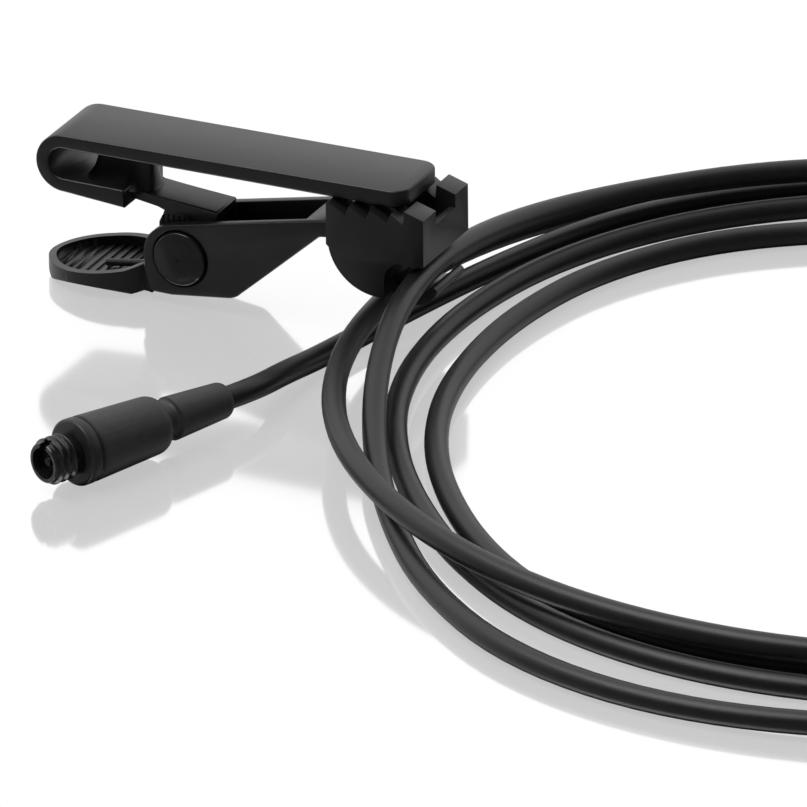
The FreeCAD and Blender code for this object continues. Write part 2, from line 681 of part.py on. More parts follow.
grille = turned("capsule_grille", [
    ("bootLength + 6.6", BORE + " - 0.45"),
    ("bootLength + 6.6", BORE),
    (FRONT, BORE),
    (FRONT, "capsuleRadius"),
    (FRONT + " + grilleLength - 0.25", "capsuleRadius"),
    (FRONT + " + grilleLength", "capsuleRadius - 0.25", "0.25"),
    (FRONT + " + grilleLength", "0"),
    (FRONT + " + grilleLength - 0.4", "0"),
    (FRONT + " + grilleLength - 0.4", BORE + " - 0.45"),
], CAPSULE)
sound_holes = new_sketch(grille, "sound_holes", "YZ_Plane", ("0", "0", FRONT + " - 0.1"))
ring(sound_holes, "0", "0", "0.25")
for k in range(6):
    ring(sound_holes, "0.95 * cos(%d)" % (60 * k), "0.95 * sin(%d)" % (60 * k), "0.25")
cut(grille, sound_holes, "grilleLength + 0.5", both=False, flip=True)


def unit(v):
    return Vector(v).normalize()


# Arc from a with direction along, to b.
def arc(a, along, b):
    chord = b - a
    reach = chord.Length / 2
    ahead = unit(chord)
    side = along - ahead * along.dot(ahead)
    if side.Length < 1e-6:
        return Part.LineSegment(a, b).toShape()
    half = math.acos(max(-1, min(1, along.dot(ahead)))) / 2
    return Part.Arc(a, (a + b) * 0.5 + unit(side) * reach * math.tan(half), b).toShape()


# Two arcs that leave a along one direction and reach b along another.
def biarc(a, along_a, b, along_b):
    v = b - a
    both = along_a + along_b
    spread = 2 * (1 - along_a.dot(along_b))
    if spread < 1e-9:
        d = v.dot(v) / (2 * v.dot(both))
    else:
        d = (-v.dot(both) + math.sqrt(v.dot(both) ** 2 + spread * v.dot(v))) / spread
    joint = (a + along_a * d + b - along_b * d) * 0.5
    ahead = unit(b - along_b * d - a - along_a * d)
    return [arc(a, along_a, joint), arc(joint, ahead, b)]


def tube(edges, radius, start, along):
    wire = Part.Wire(edges)
    ring_edge = Part.makeCircle(radius, start, along)
    shell = Part.BRepOffsetAPI.MakePipeShell(wire)
    shell.add(Part.Wire([ring_edge]))
    shell.build()
    shell.makeSolid()
    return shell.shape(), wire


def new_feature(name, shape):
    feature = doc.addObject("Part::Feature", name)
    feature.Label = name
    feature.Shape = shape
    return feature


def report(name, shape, wire, radius):
    share = shape.Volume / (math.pi * radius ** 2 * wire.Length)
    print("%s: %.1f mm long, volume %.4f of section times length, %d faces"
          % (name, wire.Length, share, len(shape.Faces)))


# Least gap of a wound form to itself, on points along it that are further apart than the given length.
def least_gap(name, edges, start, radius, apart):
    samples = []
    passed = 0
    here = start
    for edge in edges:
        count = max(2, int(edge.Length / (0.7 * radius)))
        places = edge.discretize(count + 1)
        if (places[0] - here).Length > 0.01:
            places.reverse()
        for n, point in enumerate(places[:-1]):
            samples.append((passed + edge.Length * n / count, point))
        passed += edge.Length
        here = places[-1]
    least = 99
    for i, (s, p) in enumerate(samples):
        for t, q in samples[i + 10:]:
            if t - s > apart and abs(p.x - q.x) < 4 * radius and abs(p.y - q.y) < 4 * radius:
                least = min(least, (p - q).Length - 2 * radius)
    lowest = min(p.z for s, p in samples) - radius
    print("%s: least gap to itself %.2f mm, lowest point %.2f mm" % (name, least, lowest))


# Torsion spring on the pin: one leg lies on the thumb pad's floor, the other presses the leaf up.
WIRE = value("wireRadius")
WIND = value("windRadius")
PITCH = value("windPitch")
HINGE_POINT = Vector(value("hingeX"), 0, value("hingeZ"))


def on_wind(angle, y):
    return HINGE_POINT + Vector(WIND * math.cos(angle), y, WIND * math.sin(angle))


# The legs leave the coil on tangents, one below the pin and one above it.
leg_down = Vector(1.1, 0, value("dishFloor + 1.1 * tan(dishTilt) + ribHigh + 0.02 + wireRadius"))
leg_down -= HINGE_POINT
leg_up = Vector(-value("leafEnd") - 0.8, 0, value("barTop - 2 * bendRadius - 0.8 - wireRadius"))


def tangent_angle(foot, turn):
    return math.atan2(foot.z, foot.x) + turn * math.acos(WIND / foot.Length)


start_angle = tangent_angle(leg_down, 1)
stop_angle = tangent_angle(leg_up, -1) + 2 * math.pi
quarters = int((stop_angle - start_angle) / (math.pi / 2)) + 1
step = (stop_angle - start_angle) / quarters
length_y = PITCH * (stop_angle - start_angle) / (2 * math.pi)
spring_edges = []
low_end = HINGE_POINT + leg_down + Vector(0, -length_y / 2, 0)
high_end = HINGE_POINT + leg_up + Vector(0, length_y / 2, 0)
turn_slope = PITCH / (2 * math.pi * WIND)


def wind_direction(angle):
    return unit(Vector(-math.sin(angle), turn_slope, math.cos(angle)))


first = on_wind(start_angle, -length_y / 2)
leg_way = unit(first - low_end)
spring_edges.append(Part.LineSegment(low_end, first).toShape())
here = first
way = leg_way
for k in range(1, quarters + 1):
    angle = start_angle + k * step
    there = on_wind(angle, -length_y / 2 + k * length_y / quarters)
    goal = unit(high_end - there) if k == quarters else wind_direction(angle)
    spring_edges += biarc(here, way, there, goal)
    here = there
    way = goal
spring_edges.append(Part.LineSegment(here, high_end).toShape())
spring_solid, spring_wire = tube(spring_edges, WIRE, low_end, leg_way)
new_feature("torsion_spring", spring_solid)
report("torsion_spring", spring_solid, spring_wire, WIRE)
least_gap("torsion_spring", spring_edges, low_end, WIRE, 4)

# Cord. Its coil is laid clockwise from above in loose turns round COIL. Each turn gives its reach from
# that centre and its height at eighths of a turn, from 132.5 degrees down. The first turn ends in the
# cradle, and the second lies on the turns below it.
CORD = value("cordRadius")
LOW = CORD
TOP = 3.6
COIL = Vector(79.56, -5.81, 0)
LEFT = [(184.6, 52.0, LOW), (173.0, 50.3, LOW), (162.5, 49.8, LOW)]
LAID = [
    [(55.0, LOW), (58.5, LOW), (57.5, 3.0), (58.5, 4.3),
     (59.3, 1.8), (56.0, LOW), (45.0, 2.0), (45.4, 7.7)],
    [(53.6, 3.9), (56.5, TOP), (54.6, 3.9), (53.8, TOP),
     (51.0, TOP), (47.0, TOP), (47.2, 4.6), (49.6, 3.9)],
    [(58.0, LOW), (61.5, LOW), (61.0, LOW), (57.0, LOW),
     (53.5, LOW), (48.5, LOW), (42.0, LOW), (44.4, LOW)],
    [(51.0, LOW), (55.4, LOW), (54.0, LOW), (52.0, LOW),
     (48.5, LOW), (45.4, LOW), (39.0, LOW), (39.7, LOW)],
    [(46.0, LOW), (46.5, LOW), (43.0, LOW)],
]
laid = list(LEFT)
for turn, row in enumerate(LAID):
    for eighth, (reach, height) in enumerate(row):
        laid.append((132.5 - 45 * eighth - 360 * turn, reach, height))


# Slope at a knot: the mean for the reach, and for the height one that never passes a neighbour.
def knot_slope(k, place):
    if k == 0 or k == len(laid) - 1:
        other = 1 if k == 0 else k - 1
        return (laid[other][place] - laid[k][place]) / (laid[other][0] - laid[k][0]) * (place == 1)
    before = (laid[k][place] - laid[k - 1][place]) / (laid[k][0] - laid[k - 1][0])
    after = (laid[k + 1][place] - laid[k][place]) / (laid[k + 1][0] - laid[k][0])
    if place == 1:
        return (before + after) / 2
    return 0 if before * after <= 0 else 2 * before * after / (before + after)


# Point and direction of the coil a share f past knot k.
def on_coil(k, f):
    a = laid[k]
    b = laid[k + 1]
    span = b[0] - a[0]
    out = []
    for place in (1, 2):
        p, q = a[place], b[place]
        m, n = knot_slope(k, place) * span, knot_slope(k + 1, place) * span
        cubic = 2 * p - 2 * q + m + n
        square = 3 * q - 3 * p - 2 * m - n
        slope = (m + f * (2 * square + f * 3 * cubic)) / span
        out.append((p + f * (m + f * (square + f * cubic)), slope))
    angle = math.radians(a[0] + f * span)
    (reach, reach_slope), (height, height_slope) = out
    point = COIL + Vector(reach * math.cos(angle), reach * math.sin(angle), height)
    rate = math.degrees(1)
    along = Vector(reach_slope * rate * math.cos(angle) - reach * math.sin(angle),
                   reach_slope * rate * math.sin(angle) + reach * math.cos(angle), height_slope * rate)
    return point, unit(along) * -1


coil_edges = []
here, way = on_coil(0, 0)
coil_start, coil_start_way = here, way
for k in range(1, len(laid)):
    there, goal = on_coil(k - 1, 1)
    coil_edges += biarc(here, way, there, goal)
    here, way = there, goal
coil_end, coil_end_way = here, way
coil_solid, coil_wire = tube(coil_edges, CORD, coil_start, coil_start_way)
new_feature("cable_coil", coil_solid)
report("cable_coil", coil_solid, coil_wire, CORD)
least_gap("cable_coil", coil_edges, coil_start, CORD, 8)


# A loose stretch is straight runs joined by tangent arcs, each as large as its two runs allow.
def loose(name, points):
    edges = []
    radii = []
    here = points[0]
    for k in range(1, len(points) - 1):
        before, at, after = points[k - 1:k + 2]
        run_in, run_out = at - before, after - at
        turn = run_in.getAngle(run_out)
        cut_off = 0.45 * min(run_in.Length, run_out.Length)
        radii.append(cut_off / math.tan(turn / 2))
        a = at - unit(run_in) * cut_off
        b = at + unit(run_out) * cut_off
        edges.append(Part.LineSegment(here, a).toShape())
        edges.append(arc(a, unit(run_in), b))
        here = b
    edges.append(Part.LineSegment(here, points[-1]).toShape())
    solid, wire = tube(edges, CORD, points[0], unit(points[1] - points[0]))
    new_feature(name, solid)
    report(name, solid, wire, CORD)
    print("%s: radii %s mm" % (name, " ".join("%.0f" % r for r in radii)))
    return wire.Length


turn = math.radians(value("plugTurn"))
plug_way = Vector(math.cos(turn), math.sin(turn), 0)
plug_end = Vector(value("plugX"), value("plugY"), value("collarRadius")) + plug_way * value("plugLength")
plug_lead = loose("cable_plug_lead", [
    plug_end,
    plug_end + plug_way * 3.6,
    Vector(26.85, -16.4, 1.75),
    coil_start - coil_start_way * 2.6,
    coil_start,
])
turn = math.radians(value("capsuleTurn"))
capsule_way = Vector(math.cos(turn), math.sin(turn), 0)
capsule_end = Vector(value("capsuleX"), value("capsuleY"), value("capsuleRadius"))
capsule_lead = loose("cable_capsule_lead", [
    coil_end,
    coil_end + coil_end_way * 9,
    Vector(118.0, 4.0, 1.1),
    Vector(117.5, -8.0, 1.2),
    Vector(115.0, -13.4, 1.4),
    Vector(110.6, -17.5, 1.7),
    capsule_end - capsule_way * 6.4,
    capsule_end,
])
print("cord in all: %.0f mm" % (plug_lead + coil_wire.Length + capsule_lead))

os.makedirs("parts", exist_ok=True)
doc.recompute()
for thing in doc.Objects:
    if "Invalid" in thing.State or "Error" in thing.State:
        raise RuntimeError(thing.Name + " did not build")
pieces = [o for o in doc.Objects if o.TypeId == "PartDesign::Body" or o.TypeId == "Part::Feature"]
for piece in pieces:
    if piece.Shape.isNull() or not piece.Shape.isValid() or len(piece.Shape.Solids) != 1:
        raise RuntimeError(piece.Label + " is not one sound solid")
    piece.Shape.exportStep("parts/%s.step" % piece.Label)
print("%d pieces" % len(pieces))
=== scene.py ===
import bpy
import bmesh
import json
import math
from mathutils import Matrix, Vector

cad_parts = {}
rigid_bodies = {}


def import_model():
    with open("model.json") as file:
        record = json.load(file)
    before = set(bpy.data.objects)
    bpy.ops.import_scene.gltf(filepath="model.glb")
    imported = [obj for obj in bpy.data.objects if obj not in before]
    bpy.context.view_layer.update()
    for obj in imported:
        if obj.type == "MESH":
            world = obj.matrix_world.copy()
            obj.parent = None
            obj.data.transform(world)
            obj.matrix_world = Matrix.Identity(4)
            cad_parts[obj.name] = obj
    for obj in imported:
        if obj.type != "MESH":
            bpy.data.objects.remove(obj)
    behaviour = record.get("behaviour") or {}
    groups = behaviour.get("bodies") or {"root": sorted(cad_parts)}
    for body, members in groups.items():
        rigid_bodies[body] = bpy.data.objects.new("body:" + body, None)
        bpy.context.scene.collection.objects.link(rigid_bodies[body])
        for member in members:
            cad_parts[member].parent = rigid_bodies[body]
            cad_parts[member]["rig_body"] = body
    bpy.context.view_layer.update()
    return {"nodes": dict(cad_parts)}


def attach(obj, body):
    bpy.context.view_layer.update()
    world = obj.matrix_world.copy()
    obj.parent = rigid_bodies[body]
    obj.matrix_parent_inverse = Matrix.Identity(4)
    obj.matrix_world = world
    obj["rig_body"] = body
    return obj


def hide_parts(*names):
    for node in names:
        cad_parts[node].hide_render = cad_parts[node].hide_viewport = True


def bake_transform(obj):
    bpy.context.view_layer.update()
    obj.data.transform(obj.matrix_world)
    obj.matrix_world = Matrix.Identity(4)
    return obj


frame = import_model()
scene = bpy.context.scene
nodes = frame["nodes"]
bpy.ops.object.select_all(action="DESELECT")
mm = 0.001

# camera: 24.5 degrees above the floor, turned 25.5 degrees, far off so that the clip hardly converges
view = {
    "place": (527.08, -1040.50, 518.37),  # mm
    "aim": (37.39, -13.85, 0.0),
    "lens": 619.6,
    "sensor": 36.0,
    "near": 0.05,  # metres
    "far": 20,
}
place = Vector(view["place"]) * mm
aim = Vector(view["aim"]) * mm
lensData = bpy.data.cameras.new("camera")
lensData.lens = view["lens"]
lensData.sensor_width = view["sensor"]
lensData.sensor_fit = "HORIZONTAL"
lensData.clip_start = view["near"]
lensData.clip_end = view["far"]
camera = bpy.data.objects.new("camera", lensData)
scene.collection.objects.link(camera)
camera.location = place
camera.rotation_euler = (aim - place).to_track_quat("-Z", "Y").to_euler()
scene.camera = camera
print("camera ready")

# cord: leaves the capsule's boot, lies in four and a half loose turns and ends in the plug
cord = {
    "radius": 1.1,
    "length": 1.502,  # metres
    "centre": (79.56, -5.81),  # middle of the turns
    "start": 132.5,  # degrees at which the first turn starts, clockwise
    "share": 45.0,  # degrees between two given reaches
    "step": 15.0,  # degrees between two points of a turn
    # from the capsule's boot to the last turn
    "capsuleLead": [(98.49, -19.25, 1.95), (104.89, -19.53, 1.95), (110.6, -17.5, 1.7),
                    (115.0, -13.4, 1.4), (117.5, -8.0, 1.2), (118.0, 4.0, 1.1)],
    # from the first turn to the plug
    "plugLead": [(26.85, -16.4, 2.1), (26.94, -22.60, 3.1), (25.50, -25.90, 3.1)],
    # reach and height of each turn at eighths; the first turn ends in the cradle
    "turns": [
        [(55.0, 1.1), (58.5, 1.1), (57.5, 3.0), (58.5, 4.3),
         (59.3, 1.8), (56.0, 1.1), (45.0, 2.0), (45.4, 7.7)],
        [(53.6, 3.9), (56.5, 3.6), (54.6, 3.9), (53.8, 3.6),
         (51.0, 3.6), (47.0, 3.6), (47.2, 4.6), (49.6, 3.9)],
        [(58.0, 1.1), (61.5, 1.1), (61.0, 1.1), (57.0, 1.1),
         (53.5, 1.1), (48.5, 1.1), (42.0, 1.1), (44.4, 1.1)],
        [(51.0, 1.1), (55.4, 1.1), (54.0, 1.1), (52.0, 1.1),
         (48.5, 1.1), (45.4, 1.1), (39.0, 1.1), (39.7, 1.1)],
        [(46.0, 1.1), (46.5, 1.1), (43.0, 1.1)],
    ],
    "entry": [(184.6, 52.0, 1.1), (173.0, 50.3, 1.1), (162.5, 49.8, 1.1)],  # comes in from the plug
    "roundness": 5,
    "resolution": 6,
}
knots = list(cord["entry"])
for turn, row in enumerate(cord["turns"]):
    first = cord["start"] - 360 * turn
    knots += [(first - cord["share"] * k, reach, height) for k, (reach, height) in enumerate(row)]


def rise(k, other, column):
    return (knots[other][column] - knots[k][column]) / (knots[other][0] - knots[k][0])


# slope at a knot: heights level out at their highest and lowest knots, so that no turn dips
def slopeAt(k, column):
    if k == 0 or k == len(knots) - 1:
        return rise(k, 1 if k == 0 else k - 1, column) * (column == 1)
    before = rise(k - 1, k, column)
    after = rise(k, k + 1, column)
    if column == 1:
        return (before + after) / 2
    return 0 if before * after <= 0 else 2 * before * after / (before + after)


# reach or height of the coil at any angle: a cubic from knot to knot
def turnValue(angle, column):
    k = 0
    while k < len(knots) - 2 and knots[k + 1][0] >= angle:
        k += 1
    span = knots[k + 1][0] - knots[k][0]
    f = (angle - knots[k][0]) / span
    p, q = knots[k][column], knots[k + 1][column]
    m, n = slopeAt(k, column) * span, slopeAt(k + 1, column) * span
    return p + f * (m + f * (3 * q - 3 * p - 2 * m - n + f * (2 * p - 2 * q + m + n)))


route = list(cord["capsuleLead"])
swell = 1 / math.cos(math.radians(cord["step"] / 2))  # a spline of order 3 cuts inside its points
count = round((knots[0][0] - knots[-1][0]) / cord["step"])
for k in range(count + 1):
    angle = knots[-1][0] + (knots[0][0] - knots[-1][0]) * k / count
    reach = turnValue(angle, 1) * swell
    route.append((cord["centre"][0] + reach * math.cos(math.radians(angle)),
                  cord["centre"][1] + reach * math.sin(math.radians(angle)), turnValue(angle, 2)))
route += cord["plugLead"]

cordCurve = bpy.data.curves.new("cord", "CURVE")
cordCurve.dimensions = "3D"
cordCurve.bevel_depth = 1  # times the radius of each point, which keeps the curve's box tight
cordCurve.bevel_resolution = cord["roundness"]
cordCurve.use_fill_caps = True
cordCurve.resolution_u = cord["resolution"]
line = cordCurve.splines.new("NURBS")
line.points.add(len(route) - 1)
for point, (x, y, z) in zip(line.points, route):
    point.co = (x * mm, y * mm, z * mm, 1)
    point.radius = cord["radius"] * mm
line.order_u = 3
line.use_endpoint_u = True
cordPiece = bpy.data.objects.new("cord", cordCurve)
scene.collection.objects.link(cordPiece)
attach(cordPiece, "clip_base")
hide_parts("cable_capsule_lead", "cable_coil", "cable_plug_lead")


# shader maths: a socket that adds its own Math nodes
class Value:
    def __init__(self, surface, socket):
        self.surface = surface
        self.socket = socket

    def maths(self, operation, first, second):
        inputs = {0: first, 1: second}
        return self.surface.node("ShaderNodeMath", {"operation": operation}, inputs)[0]

    def __add__(self, other):
        return self.maths("ADD", self, other)

    def __mul__(self, other):
        return self.maths("MULTIPLY", self, other)


class Surface:
    def __init__(self, name, **settings):
        self.material = bpy.data.materials.new(name)
        self.material.use_nodes = True
        self.tree = self.material.node_tree
        self.skin = self.tree.nodes["Principled BSDF"]
        self.out = self.tree.nodes["Material Output"]
        self.feed(self.skin, settings)
        self.here = self.node("ShaderNodeTexCoord", {}, {})["Object"]

    # any node: its settings first, then the values or links of its sockets
    def node(self, kind, settings, inputs):
        made = self.tree.nodes.new(kind)
        for key, setting in settings.items():
            if key == "stops":
                ramp = made.color_ramp.elements
                while len(ramp) < len(setting):
                    ramp.new(0.5)
                for stop, (position, colour) in zip(ramp, setting):
                    stop.position = position
                    stop.color = (*colour, 1)
            else:
                setattr(made, key, setting)
        self.feed(made, inputs)
        return Outputs(self, made)

    def feed(self, made, inputs):
        for key, given in inputs.items():
            socket = made.inputs[key]
            if isinstance(given, Value):
                self.tree.links.new(given.socket, socket)
            elif isinstance(given, tuple) and len(given) == 3 and socket.type == "RGBA":
                socket.default_value = (*given, 1)
            else:
                socket.default_value = given

    def noise(self, scale, detail, roughness=0.5):
        return self.node("ShaderNodeTexNoise", {}, {"Vector": self.here, "Scale": scale,
                                                    "Detail": detail, "Roughness": roughness})["Fac"]

    def ramp(self, value, *stops):
        return self.node("ShaderNodeValToRGB", {"stops": stops}, {"Fac": value})["Color"]

    def bump(self, height, distance):
        bumped = self.node("ShaderNodeBump", {}, {"Height": height, "Distance": distance * mm})
        self.feed(self.skin, {"Normal": bumped["Normal"]})


class Outputs:
    def __init__(self, surface, made):
        self.surface = surface
        self.made = made

    def __getitem__(self, key):
        return Value(self.surface, self.made.outputs[key])


def grey(level):
    return (level, level, level * 1.03)


# moulded clip plastic: fine satin grain, with faint flow clouds
clipLook = {"dark": 0.009, "light": 0.013, "clouds": (260, 3), "grain": (14000, 2, 0.6),
            "cloudy": 0.08, "grainy": 0.06, "roughness": 0.29, "depth": 0.006}
clipPlastic = Surface("clip moulded plastic")
clouds = clipPlastic.noise(*clipLook["clouds"])
grain = clipPlastic.noise(*clipLook["grain"])
clipPlastic.feed(clipPlastic.skin, {
    "Base Color": clipPlastic.ramp(clouds, (0.3, grey(clipLook["dark"])), (0.7, grey(clipLook["light"]))),
    "Roughness": clouds * clipLook["cloudy"] + grain * clipLook["grainy"] + clipLook["roughness"],
})
clipPlastic.bump(grain, clipLook["depth"])

# plain coats: mottling as scale and detail, its two colours, how far it spreads the roughness and from
# which value, and the scale, detail and depth in mm of the fine relief
looks = {
    "polished pin plastic": {"mottle": (700, 3), "colours": (grey(0.008), grey(0.012)),
                             "rough": (0.10, 0.14), "relief": (3000, 2, 0.003)},
    "cord jacket rubber": {"mottle": (900, 3, 0.6), "colours": (grey(0.006), grey(0.009)),
                           "rough": (0.10, 0.36), "relief": (9000, 2, 0.003)},
    "plug moulded rubber": {"mottle": (1100, 3), "colours": (grey(0.026), grey(0.036)),
                            "rough": (0.10, 0.46), "relief": (16000, 2, 0.004)},
    "dark plated metal": {"metallic": 0.85, "mottle": (1600, 4), "stops": (0.35, 0.65),
                          "colours": (grey(0.045), grey(0.08)),
                          "rough": (0.14, 0.16), "relief": (5000, 2, 0.002)},
    # as dull as the rubber behind it
    "blackened collar metal": {"metallic": 0.3, "mottle": (1300, 3), "colours": (grey(0.02), grey(0.03)),
                               "rough": (0.10, 0.40), "relief": (9000, 2, 0.003)},
    # painted shade: the contact's gold is darkened to stand for the shade deep in the dark nose
    "nose-shade darkened contact": {"metallic": 0.8, "mottle": (5000, 3),
                          "colours": ((0.012, 0.010, 0.007), (0.030, 0.024, 0.014)),
                          "rough": (0.15, 0.35)},
    "gold plate": {"metallic": 1.0, "mottle": (3000, 3),
                   "colours": ((0.72, 0.49, 0.19), (0.83, 0.62, 0.30)), "rough": (0.15, 0.18)},
    "blackened spring wire": {"metallic": 0.7, "mottle": (4000, 3), "colours": (grey(0.02), grey(0.05)),
                              "rough": (0.20, 0.25)},
    "black insulator plastic": {"mottle": (2000, 2), "colours": (grey(0.004), grey(0.007)),
                                "rough": (0.10, 0.55)},
    "capsule satin paint": {"mottle": (6000, 2), "colours": (grey(0.018), grey(0.03)),
                            "rough": (0.12, 0.30), "relief": (6000, 2, 0.003)},
    "metallised film": {"metallic": 1.0, "mottle": (1500, 2),
                        "colours": ((0.72, 0.72, 0.73), (0.83, 0.83, 0.83)), "rough": (0.10, 0.10)},
    "green board": {"mottle": (2500, 1), "stops": (0.45, 0.55),
                    "colours": ((0.03, 0.13, 0.05), (0.05, 0.20, 0.08)), "rough": (0.10, 0.30)},
}


def coat(name, look):
    surface = Surface(name, Metallic=look.get("metallic", 0.0))
    mottle = surface.noise(*look["mottle"])
    spread, least = look["rough"]
    surface.feed(surface.skin, {
        "Base Color": surface.ramp(mottle, *zip(look.get("stops", (0.3, 0.7)), look["colours"])),
        "Roughness": mottle * spread + least,
    })
    if "relief" in look:
        scale, detail, depth = look["relief"]
        surface.bump(surface.noise(scale, detail), depth)
    return surface


coats = {name: coat(name, look) for name, look in looks.items()}

# woven mesh: two crossed waves
weave = {"scale": 1500.0, "stops": ((0.1, grey(0.05)), (0.6, grey(0.45))), "rough": (0.2, 0.3)}
meshSteel = Surface("woven steel mesh", Metallic=1.0)
weft, warp = (meshSteel.node("ShaderNodeTexWave", {"wave_type": "BANDS", "bands_direction": across},
                             {"Vector": meshSteel.here, "Scale": weave["scale"]})["Fac"] for across in "YZ")
meshSteel.feed(meshSteel.skin, {
    "Base Color": meshSteel.ramp(weft * warp, *weave["stops"]),
    "Roughness": weft * weave["rough"][0] + weave["rough"][1],
})
coats.update({"clip moulded plastic": clipPlastic, "woven steel mesh": meshSteel})
print("surfaces made")

finish = {
    "clip moulded plastic": ["upper_arm", "lower_arm", "jaw_block"],
    "polished pin plastic": ["hinge_pin", "hinge_pin_cap"],
    "blackened spring wire": ["torsion_spring"],
    "dark plated metal": ["plug_threaded_nose", "plug_ferrule"],
    "blackened collar metal": ["plug_collar"],
    # the centre contact gets the coat darkened as painted shade of the nose
    "nose-shade darkened contact": ["plug_centre_contact"],
    "plug moulded rubber": ["plug_body", "plug_strain_relief", "capsule_boot"],
    "black insulator plastic": ["plug_insulator", "insulator_cup", "spacer_ring"],
    "gold plate": ["contact_washer", "backplate", "diaphragm_ring"],
    "capsule satin paint": ["capsule_housing", "capsule_grille"],
    "woven steel mesh": ["capsule_mesh"],
    "metallised film": ["diaphragm"],
    "green board": ["preamp_board"],
}
for coatName, pieces in finish.items():
    for name in pieces:
        nodes[name].data.materials.clear()
        nodes[name].data.materials.append(coats[coatName].material)
cordCurve.materials.append(coats["cord jacket rubber"].material)

# moulded and turned pieces: a merged copy of the node gets its small edge radii. Each has its radius,
# the least angle of an edge that is rounded, and boxes where edges stay as they are: x, half width, z
edges = {
    "upper_arm": (0.20, 32, ((4.4, 13.4, 9.0, 2.0, 9.2), (-0.6, 7.4, 2.1, 9.9, 14.2))),
    "lower_arm": (0.15, 32, ((-5.2, 6.6, 9.0, 0.9, 3.2),)),
    "jaw_block": (0.12, 32, ()),
    "hinge_pin": (0.10, 40, ()),
    "hinge_pin_cap": (0.10, 40, ()),
    "plug_threaded_nose": (0.04, 35, ()),
    "plug_collar": (0.05, 35, ()),
    "plug_body": (0.10, 40, ()),
    "plug_strain_relief": (0.08, 40, ()),
    "capsule_housing": (0.05, 40, ()),
    "capsule_boot": (0.06, 40, ()),
    "capsule_grille": (0.04, 40, ()),
}
moulding = {"weld": 0.002, "flat": 1.5, "segments": 3, "smooth": 30, "wireSmooth": 40}  # mm, degrees

# gusset between bar and leaf, from the hinge: half outline of its foot, with heights, and of its top
gusset = {
    "hinge": (9.75, 4.75),
    "pitch": 1.0,  # degrees
    "rows": 6,
    "rounding": 2,
    "foot": [(-10.2, 0.0, 6.24), (-10.1, 1.9, 6.24), (-9.6, 3.3, 6.24), (-8.4, 4.0, 6.2),
             (-5.3, 4.05, 6.12), (-5.1, 2.7, 5.5), (-4.5, 1.95, 5.1), (-3.7, 1.8, 5.1),
             (-3.3, 1.1, 5.1), (-3.2, 0.0, 5.1)],
    "top": [(-9.4, 0.0), (-9.3, 0.5), (-9.1, 0.8), (-8.2, 0.9), (-5.4, 0.9),
            (-5.0, 0.88), (-4.5, 0.84), (-4.1, 0.75), (-3.95, 0.4), (-3.92, 0.0)],
    "topHeight": 9.5,
    # what the square web loses on either side: x, y and z
    "shave": [((-10.2, -5.15), (0.3, 2.3), (6.36, 9.25)), ((-5.2, -3.0), (0.3, 2.3), (5.36, 9.2))],
}


# point of the upper arm, given from the hinge and level
def onArm(x, y, z):
    turn = math.radians(gusset["pitch"])
    return Vector((gusset["hinge"][0] + x * math.cos(turn) - z * math.sin(turn), y,
                   gusset["hinge"][1] + x * math.sin(turn) + z * math.cos(turn))) * mm


def mirrored(half):
    return half + [(x, -y, *rest) for x, y, *rest in reversed(half[1:-1])]


def selectOnly(piece):
    bpy.ops.object.select_all(action="DESELECT")
    piece.select_set(True)
    bpy.context.view_layer.objects.active = piece


# a cylinder's rings, swept from the outline of the foot to that of the top; both ends keep their rims
def webGusset():
    foot = mirrored(gusset["foot"])
    top = mirrored(gusset["top"])
    bpy.ops.object.select_all(action="DESELECT")
    bpy.ops.mesh.primitive_cylinder_add(vertices=len(foot), end_fill_type="NGON")
    hull = bpy.context.object
    hull.name = "web_gusset"
    cage = bmesh.new()
    cage.from_mesh(hull.data)
    uprights = [edge for edge in cage.edges if abs(edge.verts[0].co.z - edge.verts[1].co.z) > 1]
    bmesh.ops.subdivide_edges(cage, edges=uprights, cuts=gusset["rows"], use_grid_fill=True)
    for vertex in cage.verts:
        k = round(math.atan2(vertex.co.x, vertex.co.y) / math.tau * len(foot)) % len(foot)
        sweep = math.radians(45 * (vertex.co.z + 1))  # hollow side: level at the foot, upright at the top
        low, high = Vector(foot[k]), Vector((*top[k], gusset["topHeight"]))
        inward, upward = math.sin(sweep), 1 - math.cos(sweep)
        vertex.co = onArm(*(low + (high - low) * Vector((inward, inward, upward))))
    crease = cage.edges.layers.float.new("crease_edge")
    for edge in cage.edges:
        edge[crease] = any(len(face.verts) > 4 for face in edge.link_faces)
    bmesh.ops.recalc_face_normals(cage, faces=cage.faces)
    cage.to_mesh(hull.data)
    cage.free()
    rounded = hull.modifiers.new("rounding", "SUBSURF")
    rounded.levels = gusset["rounding"]
    bpy.ops.object.modifier_apply(modifier=rounded.name)
    bpy.ops.object.shade_smooth()
    hull.data.materials.append(clipPlastic.material)
    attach(hull, "clip_arm")


# cuts the square web's sides back, so that they end inside the gusset
def shaveWeb(piece):
    for xs, ys, zs in gusset["shave"]:
        for side in (1, -1):
            bpy.ops.object.select_all(action="DESELECT")
            bpy.ops.mesh.primitive_cube_add(size=2)
            block = bpy.context.object
            for corner in block.data.vertices:
                x, y, z = (span[share > 0] for span, share in zip((xs, ys, zs), corner.co * side))
                corner.co = onArm(x, side * y, z)
            less = piece.modifiers.new("shaved", "BOOLEAN")
            less.operation = "DIFFERENCE"
            less.solver = "EXACT"
            less.object = block
            selectOnly(piece)
            bpy.ops.object.modifier_apply(modifier=less.name)
            bpy.data.objects.remove(block)


# copy of a node with its points merged, which stands for it
def merged(name, ending):
    piece = nodes[name].copy()
    piece.data = nodes[name].data.copy()
    piece.name = name + ending
    piece.parent = None
    for key in list(piece.keys()):
        del piece[key]
    scene.collection.objects.link(piece)
    shell = bmesh.new()
    shell.from_mesh(piece.data)
    bmesh.ops.remove_doubles(shell, verts=shell.verts, dist=moulding["weld"] * mm)
    shell.to_mesh(piece.data)
    shell.free()
    selectOnly(piece)
    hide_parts(name)
    return piece


